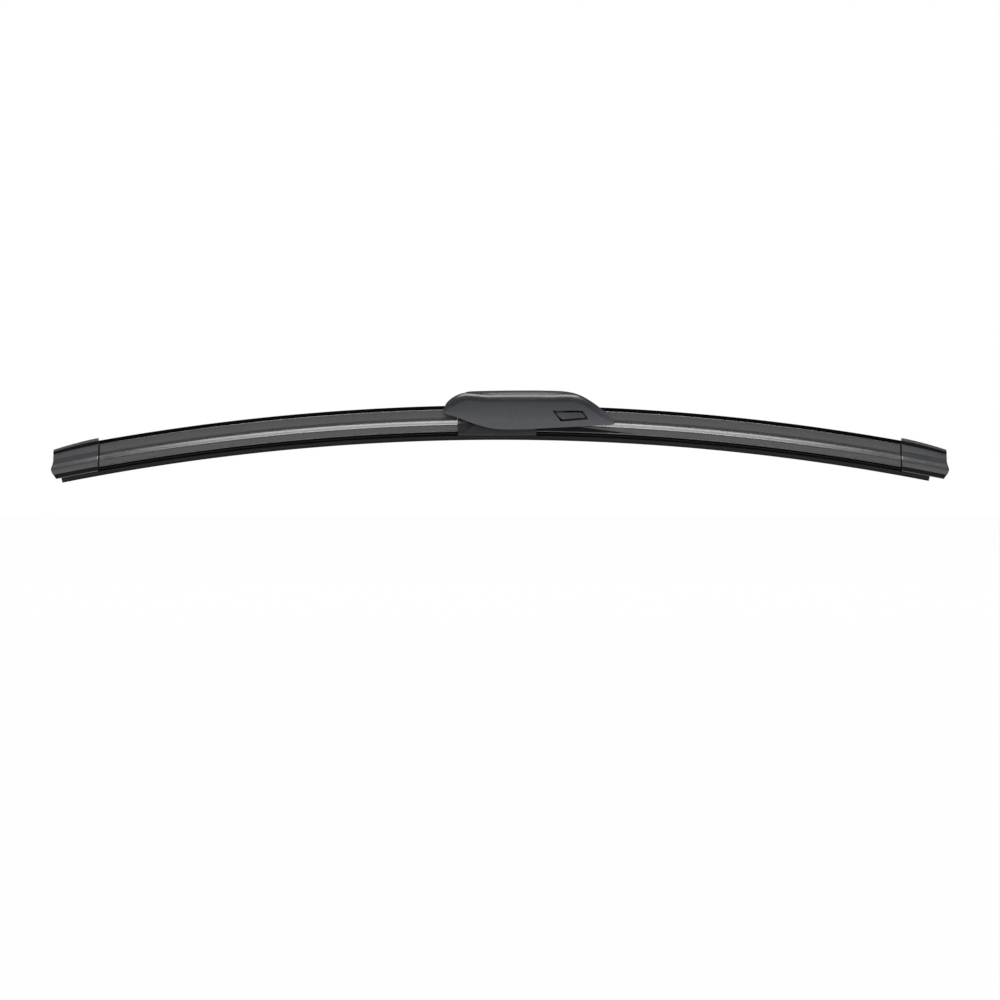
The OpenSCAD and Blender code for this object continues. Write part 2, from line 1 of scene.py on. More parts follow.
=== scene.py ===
import bpy
import bmesh
import math
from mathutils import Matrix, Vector


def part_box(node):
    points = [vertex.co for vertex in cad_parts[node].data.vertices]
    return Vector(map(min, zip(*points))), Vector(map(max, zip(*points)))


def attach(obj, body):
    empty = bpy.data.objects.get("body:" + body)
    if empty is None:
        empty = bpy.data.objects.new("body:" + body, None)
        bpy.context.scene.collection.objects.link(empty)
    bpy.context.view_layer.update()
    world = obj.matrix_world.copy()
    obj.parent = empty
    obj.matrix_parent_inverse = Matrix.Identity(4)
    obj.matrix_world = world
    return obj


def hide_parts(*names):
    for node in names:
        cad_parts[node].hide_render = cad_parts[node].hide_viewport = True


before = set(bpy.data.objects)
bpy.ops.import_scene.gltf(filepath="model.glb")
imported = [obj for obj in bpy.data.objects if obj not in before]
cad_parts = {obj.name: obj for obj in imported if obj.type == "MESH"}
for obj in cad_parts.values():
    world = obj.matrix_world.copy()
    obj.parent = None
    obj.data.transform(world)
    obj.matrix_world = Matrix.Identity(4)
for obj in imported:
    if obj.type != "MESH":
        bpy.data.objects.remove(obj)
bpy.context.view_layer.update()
mm = 0.001
scene = bpy.context.scene

# The blade's arc, in millimetres. Heights are measured from the wiping edge at the middle.
blade = {
    "radius": 1372.0, "seatHeight": 22.8, "half": 272.7,
    "rubberLeft": 266.1, "rubberRight": 260.7,
    "baseLeft": 25.5, "baseRight": 21.9,
    "spoilerEnd": 258.1, "capInner": 244.1, "pushGap": 0.05,
}


def rise(x, h):
    r = blade["radius"] + h
    return math.sqrt(r * r - x * x) - blade["radius"] - blade["seatHeight"]


def onArc(x, near, h):  # near is the distance from the middle plane towards the near side
    return Vector((x, -near, rise(x, h))) * mm


def mix(a, b, t):
    return a + (b - a) * t


def clamp(v, low, high):
    return max(low, min(high, v))


def smoothCurve(points, t):  # the same smooth curve through a list that the CAD outline follows
    last = len(points) - 1
    i = int(clamp(math.floor(t), 0, last - 1))
    f = t - i
    a, b = Vector(points[i]), Vector(points[i + 1])
    ta = (b - Vector(points[i - 1])) / 2 if i > 0 else b - a
    tb = (Vector(points[i + 2]) - a) / 2 if i < last - 1 else b - a
    f2, f3 = f * f, f * f * f
    return a * (2 * f3 - 3 * f2 + 1) + b * (3 * f2 - 2 * f3) + ta * (f3 - 2 * f2 + f) + tb * (f3 - f2)


def bezier(p, q, r, s, steps):
    out = []
    for i in range(steps + 1):
        t = i / steps
        u = 1 - t
        out.append(tuple(p[k] * u ** 3 + 3 * q[k] * u * u * t + 3 * r[k] * u * t * t + s[k] * t ** 3
                         for k in (0, 1)))
    return out


def softCorners(points, radius, steps=4, minTurn=12):  # rounds the sharp corners of a closed outline
    out = []
    n = len(points)
    for i in range(n):
        p = Vector(points[i])
        a, b = Vector(points[i - 1]) - p, Vector(points[(i + 1) % n]) - p
        turn = 180 - math.degrees(a.angle(b))
        if turn < minTurn:
            out.append(tuple(p))
            continue
        half = a.angle(b) / 2
        reach = min(radius / math.tan(half), 0.42 * a.length, 0.42 * b.length)
        start, end = p + a.normalized() * reach, p + b.normalized() * reach
        for k in range(steps + 1):
            t = k / steps
            u = 1 - t
            out.append(tuple(start * u * u + p * 2 * u * t + end * t * t))
    return out


def newMesh(name, points, faces, material):
    mesh = bpy.data.meshes.new(name)
    mesh.from_pydata([tuple(p) for p in points], [], faces)
    mesh.materials.append(material)
    mesh.update()
    piece = bpy.data.objects.new(name, mesh)
    scene.collection.objects.link(piece)
    return piece


def smoothShade(piece, angle=32):
    piece.data.shade_smooth()
    piece.data.set_sharp_from_angle(angle=math.radians(angle))


def bakeModifiers(piece):  # turns the evaluated object into a plain mesh
    graph = bpy.context.evaluated_depsgraph_get()
    mesh = bpy.data.meshes.new_from_object(piece.evaluated_get(graph), depsgraph=graph)
    piece.modifiers.clear()
    piece.data = mesh


def cut(piece, cutter):
    step = piece.modifiers.new("cut", "BOOLEAN")
    step.operation, step.solver, step.object = "DIFFERENCE", "EXACT", cutter
    bakeModifiers(piece)
    bpy.data.objects.remove(cutter)


def outward(piece):  # turns a closed mesh right side out by the sign of its volume
    bm = bmesh.new()
    bm.from_mesh(piece.data)
    if bm.calc_volume(signed=True) < 0:
        bmesh.ops.reverse_faces(bm, faces=bm.faces)
    bm.to_mesh(piece.data)
    bm.free()
    return piece


def tidyFaces(piece, gap=0.004):  # joins the points that a cut leaves on top of each other
    bm = bmesh.new()
    bm.from_mesh(piece.data)
    bmesh.ops.remove_doubles(bm, verts=bm.verts, dist=gap * mm)
    bmesh.ops.dissolve_degenerate(bm, edges=bm.edges, dist=gap * mm)
    bm.to_mesh(piece.data)
    bm.free()


# Materials

def nodeMaterial(name):
    material = bpy.data.materials.new(name)
    material.use_nodes = True
    return material, material.node_tree.nodes, material.node_tree.links.new


def mathNode(nodes, link, operation, a, b=None, clampIt=False):
    node = nodes.new("ShaderNodeMath")
    node.operation, node.use_clamp = operation, clampIt
    for socket, value in zip(node.inputs, (a, b)):
        if value is None:
            continue
        if isinstance(value, (int, float)):
            socket.default_value = value
        else:
            link(value, socket)
    return node.outputs[0]


def noiseNode(nodes, link, vector, scale, detail=3.0, roughness=0.55):
    node = nodes.new("ShaderNodeTexNoise")
    node.inputs["Scale"].default_value = scale
    node.inputs["Detail"].default_value = detail
    node.inputs["Roughness"].default_value = roughness
    link(vector, node.inputs["Vector"])
    return node.outputs["Fac"]


def rangeNode(nodes, link, value, fromLow, fromHigh, toLow, toHigh):
    node = nodes.new("ShaderNodeMapRange")
    for key, number in (("From Min", fromLow), ("From Max", fromHigh), ("To Min", toLow), ("To Max", toHigh)):
        node.inputs[key].default_value = number
    link(value, node.inputs["Value"])
    return node.outputs["Result"]


def mixColour(nodes, link, share, a, b):
    node = nodes.new("ShaderNodeMix")
    node.data_type = "RGBA"
    for socket, value in ((node.inputs["Factor"], share), (node.inputs["A"], a), (node.inputs["B"], b)):
        if isinstance(value, tuple):
            socket.default_value = (*value, 1)
        else:
            link(value, socket)
    return node.outputs["Result"]


def stretchedPosition(nodes, link, stretch):
    place = nodes.new("ShaderNodeTexCoord")
    mapping = nodes.new("ShaderNodeMapping")
    mapping.inputs["Scale"].default_value = stretch
    link(place.outputs["Object"], mapping.inputs["Vector"])
    return mapping.outputs["Vector"]


def arcHeight(nodes, link):  # height above the wiping edge, measured square to the blade's arc
    place = nodes.new("ShaderNodeTexCoord")
    parts = nodes.new("ShaderNodeSeparateXYZ")
    link(place.outputs["Object"], parts.inputs[0])
    toCentre = (blade["radius"] + blade["seatHeight"]) * mm
    x, z = parts.outputs["X"], mathNode(nodes, link, "ADD", parts.outputs["Z"], toCentre)
    square = mathNode(nodes, link, "ADD", mathNode(nodes, link, "MULTIPLY", x, x),
                      mathNode(nodes, link, "MULTIPLY", z, z))
    return mathNode(nodes, link, "SUBTRACT", mathNode(nodes, link, "SQRT", square), blade["radius"] * mm)


# A moulded or extruded plastic, or the rubber: fine grain, soft unevenness and paler edges, which are wear
# and, on the end caps, also painted highlights
def plastic(name, look):
    material, nodes, link = nodeMaterial(name)
    shader = nodes["Principled BSDF"]
    even = stretchedPosition(nodes, link, (1, 1, 1))
    lengthwise = stretchedPosition(nodes, link, look.get("stretch", (1, 1, 1)))
    cloudy = noiseNode(nodes, link, even, 60, 4)
    streaks = noiseNode(nodes, link, lengthwise, look["streakScale"], 5, 0.6)
    grain = noiseNode(nodes, link, even, look["grainScale"], 2, 0.5)
    dark, pale = look["colour"], tuple(c * look.get("paler", 1.35) for c in look["colour"])
    share = mathNode(nodes, link, "ADD", mathNode(nodes, link, "MULTIPLY", cloudy, 0.5),
                     mathNode(nodes, link, "MULTIPLY", streaks, 0.5))
    colour = mixColour(nodes, link, rangeNode(nodes, link, share, 0.35, 0.65, 0, 1), dark, pale)
    edge = nodes.new("ShaderNodeBevel")  # paler edges where the rounded normal leaves the flat one: wear, and on the end caps also painted highlights along the crest and rim lines
    edge.samples = 4
    edge.inputs["Radius"].default_value = 0.25 * mm
    flat = nodes.new("ShaderNodeNewGeometry")
    meet = nodes.new("ShaderNodeVectorMath")
    meet.operation = "DOT_PRODUCT"
    link(edge.outputs["Normal"], meet.inputs[0])
    link(flat.outputs["Normal"], meet.inputs[1])
    wearAndHighlight = rangeNode(nodes, link, meet.outputs["Value"], 0.98, 0.8, 0, look.get("edgeWearAndHighlight", 0.35))
    colour = mixColour(nodes, link, wearAndHighlight, colour, look.get("wearAndHighlightColour", (0.16, 0.165, 0.17)))
    rough = rangeNode(nodes, link, share, 0.3, 0.7, look["rough"] - 0.05, look["rough"] + 0.06)
    if "paintedFootLight" in look:  # painted light: the colour gets paler towards the lower edge, where more light falls from below
        low, high, gain = look["paintedFootLight"]
        foot = rangeNode(nodes, link, arcHeight(nodes, link), low * mm, high * mm, 1, 0)
        colour = mixColour(nodes, link, foot, colour, tuple(c * gain for c in look["colour"]))
    link(colour, shader.inputs["Base Color"])
    link(rough, shader.inputs["Roughness"])
    shader.inputs["Specular IOR Level"].default_value = look.get("specular", 0.5)
    bumpGrain = nodes.new("ShaderNodeBump")
    bumpGrain.inputs["Strength"].default_value = look["grain"]
    bumpGrain.inputs["Distance"].default_value = 0.05 * mm
    link(grain, bumpGrain.inputs["Height"])
    bumpStreak = nodes.new("ShaderNodeBump")
    bumpStreak.inputs["Strength"].default_value = look.get("streakBump", 0.1)
    bumpStreak.inputs["Distance"].default_value = 0.06 * mm
    link(streaks, bumpStreak.inputs["Height"])
    link(bumpGrain.outputs["Normal"], bumpStreak.inputs["Normal"])
    link(edge.outputs["Normal"], bumpGrain.inputs["Normal"])
    link(bumpStreak.outputs["Normal"], shader.inputs["Normal"])
    return material


def springSteel(name, look):
    material, nodes, link = nodeMaterial(name)
    shader = nodes["Principled BSDF"]
    along = stretchedPosition(nodes, link, look["stretch"])
    scratches = noiseNode(nodes, link, along, 400, 6, 0.7)
    stain = noiseNode(nodes, link, stretchedPosition(nodes, link, (1, 1, 1)), 45, 4)
    stained = rangeNode(nodes, link, stain, 0.4, 0.7, 0, 1)
    colour = mixColour(nodes, link, stained, look["colour"], look["stained"])
    link(colour, shader.inputs["Base Color"])
    link(rangeNode(nodes, link, scratches, 0.3, 0.7, look["rough"] - 0.08, look["rough"] + 0.1),
         shader.inputs["Roughness"])
    shader.inputs["Metallic"].default_value = 1.0
    bump = nodes.new("ShaderNodeBump")
    bump.inputs["Strength"].default_value = 0.15
    bump.inputs["Distance"].default_value = 0.03 * mm
    link(scratches, bump.inputs["Height"])
    link(bump.outputs["Normal"], shader.inputs["Normal"])
    return material


spoilerLook = plastic("extrudedSpoiler", {
    "colour": (0.049, 0.049, 0.051), "rough": 0.27, "grain": 0.07, "grainScale": 5200,
    "stretch": (0.02, 1, 1), "streakScale": 900, "streakBump": 0.03, "edgeWearAndHighlight": 0.08, "specular": 0.9,
    "paler": 1.15})
tipLook = plastic("softSpoilerTip", {
    "colour": (0.0022, 0.0022, 0.0024), "rough": 0.7, "grain": 0.2, "grainScale": 4600,
    "stretch": (0.02, 1, 1), "streakScale": 900, "streakBump": 0.1, "edgeWearAndHighlight": 0.04,
    "wearAndHighlightColour": (0.02, 0.02, 0.02), "specular": 0.04})
rubberLook = plastic("graphiteRubber", {
    "colour": (0.009, 0.009, 0.009), "rough": 0.62, "grain": 0.35, "grainScale": 3600,
    "stretch": (0.03, 1, 1), "streakScale": 1100, "streakBump": 0.25, "edgeWearAndHighlight": 0.1, "specular": 0.2,
    "paler": 1.8})
# painted shade: a near black, hardly reflecting copy of the rubber for its body under the claws
shadedRubberLook = plastic("shadedRubber", {
    "colour": (0.0015, 0.0015, 0.0015), "rough": 0.8, "grain": 0.3, "grainScale": 3600,
    "stretch": (0.03, 1, 1), "streakScale": 1100, "streakBump": 0.2, "edgeWearAndHighlight": 0.02,
    "wearAndHighlightColour": (0.01, 0.01, 0.01), "specular": 0.03})
# the end cap's strong pale edges paint highlights along its crest and rim lines, on top of wear
capLook = plastic("mouldedCap", {
    "colour": (0.05, 0.0515, 0.055), "rough": 0.3, "grain": 0.25, "grainScale": 4200, "streakScale": 130,
    "edgeWearAndHighlight": 0.75, "paler": 1.2, "specular": 0.9})
baseLook = plastic("mouldedBase", {
    "colour": (0.026, 0.026, 0.028), "rough": 0.5, "grain": 0.3, "grainScale": 4200, "streakScale": 130,
    "edgeWearAndHighlight": 0.04, "specular": 0.25})
# painted shade: a dark, hardly reflecting copy of the plastic, put on the caps' groove and undercut, the
# spoiler beside the caps and the spoiler under the cover's edge, where shade falls
paintedShadeLook = plastic("paintedRecessShade", {
    "colour": (0.009, 0.009, 0.0095), "rough": 0.7, "grain": 0.3, "grainScale": 4200, "streakScale": 130,
    "edgeWearAndHighlight": 0.05, "wearAndHighlightColour": (0.03, 0.03, 0.03), "specular": 0.12})
# the cover's colour carries painted light towards its lower edge
coverLook = plastic("grainedCover", {
    "colour": (0.028, 0.03, 0.0335), "rough": 0.29, "grain": 0.12, "grainScale": 3800, "streakScale": 90,
    "edgeWearAndHighlight": 0.3, "paler": 1.2, "paintedFootLight": (12, 22, 2.6)})
tabLook = plastic("grainedTab", {
    "colour": (0.04, 0.042, 0.046), "rough": 0.4, "grain": 0.4, "grainScale": 3800, "streakScale": 120,
    "edgeWearAndHighlight": 0.25})
innerLook = plastic("plainInnerMoulding", {
    "colour": (0.03, 0.03, 0.032), "rough": 0.5, "grain": 0.2, "grainScale": 3000, "streakScale": 150,
    "edgeWearAndHighlight": 0.3})
steelLook = springSteel("springSteel", {
    "colour": (0.5, 0.51, 0.53), "stained": (0.38, 0.38, 0.39), "rough": 0.36, "stretch": (0.03, 1, 1)})
pinLook = springSteel("turnedSteel", {
    "colour": (0.58, 0.58, 0.6), "stained": (0.48, 0.48, 0.5), "rough": 0.28, "stretch": (1, 0.05, 1)})
print("materials made")


# Extrusions swept along the arc by Geometry Nodes

def sweepTree():
    tree = bpy.data.node_groups.new("arcSweep", "GeometryNodeTree")
    face = tree.interface
    face.new_socket("Geometry", in_out="OUTPUT", socket_type="NodeSocketGeometry")
    face.new_socket("Section", in_out="INPUT", socket_type="NodeSocketGeometry")
    sockets = {}
    for label, kind in (("Radius", "NodeSocketFloat"), ("Seat Height", "NodeSocketFloat"),
                        ("From Angle", "NodeSocketFloat"), ("To Angle", "NodeSocketFloat"),
                        ("Steps", "NodeSocketInt"), ("Material", "NodeSocketMaterial")):
        sockets[label] = face.new_socket(label, in_out="INPUT", socket_type=kind).identifier
    nodes, link = tree.nodes, tree.links.new
    given, out = nodes.new("NodeGroupInput"), nodes.new("NodeGroupOutput")

    def calc(operation, a, b=None):
        node = nodes.new("ShaderNodeMath")
        node.operation = operation
        for socket, value in zip(node.inputs, (a, b)):
            if isinstance(value, (int, float)):
                socket.default_value = value
            elif value is not None:
                link(value, socket)
        return node.outputs[0]

    line = nodes.new("GeometryNodeMeshLine")
    line.inputs["Offset"].default_value = (0.01, 0, 0)
    link(given.outputs["Steps"], line.inputs["Count"])
    lastStep = calc("SUBTRACT", given.outputs["Steps"], 1)
    share = calc("DIVIDE", nodes.new("GeometryNodeInputIndex").outputs[0], lastStep)
    span = calc("SUBTRACT", given.outputs["To Angle"], given.outputs["From Angle"])
    angle = calc("ADD", given.outputs["From Angle"], calc("MULTIPLY", share, span))
    place = nodes.new("ShaderNodeCombineXYZ")
    link(calc("MULTIPLY", calc("SINE", angle), given.outputs["Radius"]), place.inputs["X"])
    level = calc("MULTIPLY", calc("COSINE", angle), given.outputs["Radius"])
    fall = calc("SUBTRACT", level, given.outputs["Radius"])
    link(calc("SUBTRACT", fall, given.outputs["Seat Height"]), place.inputs["Z"])
    setPlace = nodes.new("GeometryNodeSetPosition")
    link(line.outputs["Mesh"], setPlace.inputs["Geometry"])
    link(place.outputs[0], setPlace.inputs["Position"])
    path, section = nodes.new("GeometryNodeMeshToCurve"), nodes.new("GeometryNodeMeshToCurve")
    link(setPlace.outputs[0], path.inputs[0])
    link(given.outputs["Section"], section.inputs[0])
    sweep = nodes.new("GeometryNodeCurveToMesh")
    link(path.outputs[0], sweep.inputs["Curve"])
    link(section.outputs[0], sweep.inputs["Profile Curve"])
    real, paint = nodes.new("GeometryNodeRealizeInstances"), nodes.new("GeometryNodeSetMaterial")
    link(sweep.outputs[0], real.inputs[0])
    link(real.outputs[0], paint.inputs["Geometry"])
    link(given.outputs["Material"], paint.inputs["Material"])
    link(paint.outputs[0], out.inputs[0])
    return tree, sockets


arcTree, arcSockets = sweepTree()


# Sweeps closed loops of (height, towards the near side) along the arc between two places
def extrusion(name, loops, x0, x1, material, steps):
    points, edges = [], []
    for loop in loops:
        flat = [(near * mm, -h * mm, 0) for h, near in loop]
        area = sum(a[0] * b[1] - b[0] * a[1] for a, b in zip(flat, flat[1:] + flat[:1]))
        if (area > 0) != (loop is loops[0]):  # the first loop is the outside, the others are hollows
            flat.reverse()
        start = len(points)
        points += flat
        edges += [(start + i, start + (i + 1) % len(flat)) for i in range(len(flat))]
    mesh = bpy.data.meshes.new(name)
    mesh.from_pydata(points, edges, [])
    piece = bpy.data.objects.new(name, mesh)
    scene.collection.objects.link(piece)
    sweep = piece.modifiers.new("sweep", "NODES")
    sweep.node_group = arcTree
    sweep[arcSockets["Radius"]] = blade["radius"] * mm
    sweep[arcSockets["Seat Height"]] = blade["seatHeight"] * mm
    sweep[arcSockets["From Angle"]] = math.asin(x0 / blade["radius"])
    sweep[arcSockets["To Angle"]] = math.asin(x1 / blade["radius"])
    sweep[arcSockets["Steps"]] = steps
    sweep[arcSockets["Material"]] = material
    bakeModifiers(piece)
    closeEnds(piece)
    smoothShade(piece)
    return piece


def closeEnds(piece):  # fills both ends, around the hollows
    bm = bmesh.new()
    bm.from_mesh(piece.data)
    rims = [e for e in bm.edges if e.is_boundary]
    middle = sum((v.co.x for v in bm.verts)) / len(bm.verts)
    for side in (-1, 1):
        rim = [e for e in rims if (e.verts[0].co.x - middle) * side > 0]
        bmesh.ops.triangle_fill(bm, use_beauty=True, use_dissolve=False, edges=rim)
    bmesh.ops.recalc_face_normals(bm, faces=bm.faces)
    bm.to_mesh(piece.data)
    bm.free()


rails = {"height": 6.1, "thickness": 0.9, "width": 3.8, "gap": 1.8}
rubber = {"lip": 0.7, "wedgeHeight": 2.3, "wedge": 4.2, "neck": 0.9, "body": 6.2, "head": 5.2,
          "headThickness": 1.2}
spoiler = {"top": 21.1, "ridge": 2.6, "offset": 0.9, "clawWall": 1.5, "clawThickness": 0.85,
           "lipOut": 0.3, "side": 8.9, "band": 14.3, "softTip": 2.5}
railTop = rails["height"] + rails["thickness"]
railEdge = rails["gap"] / 2 + rails["width"]
clawEdge = railEdge + spoiler["clawWall"]
clawHeight = rails["height"] - blade["pushGap"] - spoiler["clawThickness"]
clawLip = rubber["body"] / 2 + 0.35
headTop = railTop + blade["pushGap"] + rubber["headThickness"]


def rubberSection():
    gap = blade["pushGap"]
    web = rails["gap"] / 2 - gap
    w, body, head = rubber["wedgeHeight"], rubber["body"] / 2, rubber["head"] / 2
    lip, wedge, neck = rubber["lip"] / 2, rubber["wedge"] / 2, rubber["neck"] / 2
    half = [(0, lip), (w * 0.55, lip + 0.15), (w * 0.8, wedge - 0.25), (w, wedge), (w + 0.5, wedge),
            (w + 0.8, wedge - 0.3), (w + 0.9, neck), (w + 1.5, neck), (w + 1.7, body - 0.3), (w + 2, body),
            (rails["height"] - gap, body), (rails["height"] - gap, web), (railTop + gap, web),
            (railTop + gap, head), (headTop - 0.4, head), (headTop, head - 0.5)]
    return softCorners(half + [(h, -y) for h, y in reversed(half)], 0.16, 3)


def spoilerSection(grow=0.0):  # the outside, from the near claw over the ridge to the far claw
    near, far = spoiler["ridge"] / 2 - spoiler["offset"], spoiler["ridge"] / 2 + spoiler["offset"]
    neck, top, band, side, e = (spoiler["top"] - spoiler["softTip"], spoiler["top"], spoiler["band"],
                                spoiler["side"], clawEdge + grow)
    lift, wall = grow * 0.4, e - spoiler["lipOut"]
    pts = [(clawHeight - grow, clawEdge - 1), (clawHeight + 0.1, e - 0.3), (clawHeight + 0.3, e),
           (clawHeight + 0.45, e), (clawHeight + 0.7, wall), (side, wall)]
    pts += bezier((side + 0.6, wall - 0.3), (side + 1.8, e - 2.25), (band - 2.6, near + 0.9 + grow),
                  (band, near + 0.7 + grow), 18)
    pts += [(neck + lift, near + grow), (neck + lift + 0.3, near - 0.35 + grow),
            (top - 0.5 + grow, near - 0.5 + grow), (top + grow, near - 0.95 + grow / 2),
            (top + grow, -far + 0.95 - grow / 2), (top - 0.5 + grow, -far + 0.5 - grow),
            (neck + lift + 0.3, -far + 0.35 - grow), (neck + lift, -far - grow)]
    pts += bezier((band, -far - 0.9 - grow), (band - 2.5, -far - 1.3 - grow), (side + 1.2, -e + 1),
                  (side, -e + 0.1), 16)
    pts += [(clawHeight + 0.7, -e), (clawHeight + 0.15, -e + 0.3), (clawHeight - grow, -clawEdge + 1)]
    return pts


def tunnelPoints():  # the slot for rails and rubber, from the near side over the top to the far side
    gap = blade["pushGap"]
    head = rubber["head"] / 2 + 0.1
    return [(clawHeight, clawLip), (rails["height"] - gap, clawLip), (rails["height"] - gap, railEdge + gap),
            (railTop + gap, railEdge + gap), (railTop + gap, head), (headTop + 0.15, head)]


def spoilerLoops():
    slot = tunnelPoints()
    slot = [(h, -y) for h, y in slot] + [(h, y) for h, y in reversed(slot)]
    near, far = spoiler["ridge"] / 2 - spoiler["offset"], spoiler["ridge"] / 2 + spoiler["offset"]
    floor, roof = headTop + 1.4, spoiler["band"] - 1
    chamber = [(floor, clawEdge - 3.2), (floor, -clawEdge + 2.2), (roof, -far + 0.3),
               (spoiler["band"] + 1.2, -far / 2 + 0.2), (roof, near - 0.6)]
    return [softCorners(spoilerSection() + slot, 0.22, 4), softCorners(chamber, 0.4, 4)]


def finishPiece(piece, body, node):
    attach(piece, body)
    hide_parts(node)
    low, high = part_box(node)
    own = [Vector(c) for c in piece.bound_box]
    off = max(max(low[k] - min(c[k] for c in own), max(c[k] for c in own) - high[k]) for k in range(3))
    print(f"{piece.name}: reaches {off / mm:+.3f} mm past {node}, {len(piece.data.polygons)} faces")


def heightOnBlade(co):
    return math.hypot(co.x / mm, co.z / mm + blade["radius"] + blade["seatHeight"]) - blade["radius"]


def paintAbove(piece, height, material):  # faces above a height on the blade get a material of their own: the soft tip's own finish on the spoilers, painted shade on the rubber
    piece.data.materials.append(material)
    index = len(piece.data.materials) - 1
    for face in piece.data.polygons:
        if min(heightOnBlade(piece.data.vertices[i].co) for i in face.vertices) > height:
            face.material_index = index


def paintedJointShadow(piece, x0, x1):  # painted shadow on the extrusion in the joint next to the end cap
    bm = bmesh.new()
    bm.from_mesh(piece.data)
    for x in (x0, x1):
        bmesh.ops.bisect_plane(bm, geom=list(bm.verts) + list(bm.edges) + list(bm.faces), dist=1e-7,
                               plane_co=(x * mm, 0, 0), plane_no=(1, 0, 0))
    bm.to_mesh(piece.data)
    bm.free()
    piece.data.materials.append(paintedShadeLook)
    index = len(piece.data.materials) - 1
    for face in piece.data.polygons:
        if min(x0, x1) < face.center.x / mm < max(x0, x1):
            face.material_index = index
    smoothShade(piece)


def paintedShadowUnderCover(piece):  # painted shadow: the near side face of the right spoiler is painted dark under the edge of the cover, where its shadow falls
    bm = bmesh.new()
    bm.from_mesh(piece.data)
    under = lambda f: (f.normal.y < -0.97 and f.calc_center_median().x < 0.09
                       and spoiler["side"] > heightOnBlade(f.calc_center_median()) > clawHeight + 0.7)
    start, end = onArc(42, 0, spoiler["side"] + 0.4), onArc(84, 0, clawHeight + 0.7)
    faces = [f for f in bm.faces if under(f)]
    geometry = set(faces)
    for f in faces:
        geometry.update(f.edges)
        geometry.update(f.verts)
    slope = (end - start).cross(Vector((0, 1, 0))).normalized()
    bmesh.ops.bisect_plane(bm, geom=list(geometry), dist=1e-7, plane_co=start, plane_no=slope)
    side = slope * (1 if slope.z > 0 else -1)
    piece.data.materials.append(paintedShadeLook)
    for f in bm.faces:
        if under(f) and (f.calc_center_median() - start).dot(side) < 0:
            f.material_index = len(piece.data.materials) - 1
    bm.to_mesh(piece.data)
    bm.free()
    smoothShade(piece)


gap = blade["pushGap"]
leftSpoiler = extrusion("spoilerLeft", spoilerLoops(), -blade["spoilerEnd"], -blade["baseLeft"] - gap,
                        spoilerLook, 150)
rightSpoiler = extrusion("spoilerRight", spoilerLoops(), blade["baseRight"] + gap, blade["spoilerEnd"],
                         spoilerLook, 150)
rubberStrip = extrusion("rubberStrip", [rubberSection()], -blade["rubberLeft"], blade["rubberRight"],
                        rubberLook, 280)
for piece, side in ((leftSpoiler, -1), (rightSpoiler, 1)):
    paintAbove(piece, spoiler["top"] - spoiler["softTip"] + 0.2, tipLook)
    # painted shadow in the joint beside each end cap
    paintedJointShadow(piece, side * (blade["capInner"] - 0.8), side * (blade["capInner"] + 2))
# painted shadow under the cover's edge
paintedShadowUnderCover(rightSpoiler)
# painted shade: the rubber's body under the claws, where the claws' shadow falls
paintAbove(rubberStrip, rubber["wedgeHeight"] + 1.92, shadedRubberLook)
finishPiece(leftSpoiler, "blade", "left_spoiler")
finishPiece(rightSpoiler, "blade", "right_spoiler")
finishPiece(rubberStrip, "blade", "wiper_rubber")
print("extrusions swept")


# End caps

cap = {"wall": 1.3, "bottom": 2.9, "crest": 22.76, "fall": 0.24, "bulge": 1.2, "groove": 0.8, "chamfer": 0.45,
       "solid": 6.2, "rim": 0.25}


def capSide(edge, groove):
    e, b, crest = clawEdge + cap["wall"], cap["bottom"], cap["crest"]
    side, band = spoiler["side"], spoiler["band"]
    return [(b, e - 2.2), (b + 0.4, e - 1.8), (b + 1.7, e - 1.5), (b + 2.1, e - 0.8), (b + 2.8, e - 0.7),
            (b + 3.1, e - 0.1), (b + 3.4, e), (side - 0.4, e - 0.25), (side + 1.2, e - 1.5),
            (side + 3, edge + 2.05), (band - 0.2, edge + 1.05), (band + 0.7, edge + 0.7),
            (crest - 3.9, edge + 0.25), (crest - 3.6, edge - groove), (crest - 2, edge - groove),
            (crest - 1.5, edge + 0.1), (crest - 0.5, edge), (crest, edge - 0.7)]


def capOutline():
    near = capSide(spoiler["ridge"] / 2 - spoiler["offset"] + cap["wall"], cap["groove"])
    far = capSide(spoiler["ridge"] / 2 + spoiler["offset"] + cap["wall"], 0)
    return softCorners(near + [(h, -y) for h, y in reversed(far)], 0.35, 3, 4)


def recessed(outline):  # the steps of the outline that lie in the groove or in the undercut, which get painted shade
    ridge = spoiler["ridge"] / 2 - spoiler["offset"] + cap["wall"]
    edge, crest, bottom = clawEdge + cap["wall"], cap["crest"], cap["bottom"]
    inGroove = [crest - 3.72 < h < crest - 1.85 and 0 < y < ridge - 0.3 for h, y in outline]
    undercut = [bottom + 0.35 < h < bottom + 3.0 and edge - 2 < abs(y) < edge - 0.4 for h, y in outline]
    n = len(outline)
    return {j for j in range(n) for marks in (inGroove, undercut) if marks[j] and marks[(j + 1) % n]}


def capRing(outline, t, shrink=0.0, inset=0.0):
    drop = 1 - cap["fall"] * t ** 1.6
    bulgeHeight, middle = cap["bottom"] + 6.1, cap["crest"] / 2
    ring = []
    for h, near in outline:
        if h > spoiler["band"]:
            h = spoiler["band"] + (h - spoiler["band"]) * drop
        chamfer = cap["chamfer"] * max(0, cap["bottom"] + 3.8 - h)
        free = blade["half"] - cap["bulge"] * (1 - math.exp(-((h - bulgeHeight) / 3) ** 2)) - chamfer
        x = mix(blade["capInner"], free, t) + shrink * 1.6
        h, near = mix(h, middle, shrink), near * (1 - shrink)
        if inset:  # a softened rim at the inner edge
            h -= math.copysign(inset, h - middle) * 0.8
            near -= math.copysign(min(inset, abs(near)), near)
        ring.append(onArc(x, near, h))
    return ring


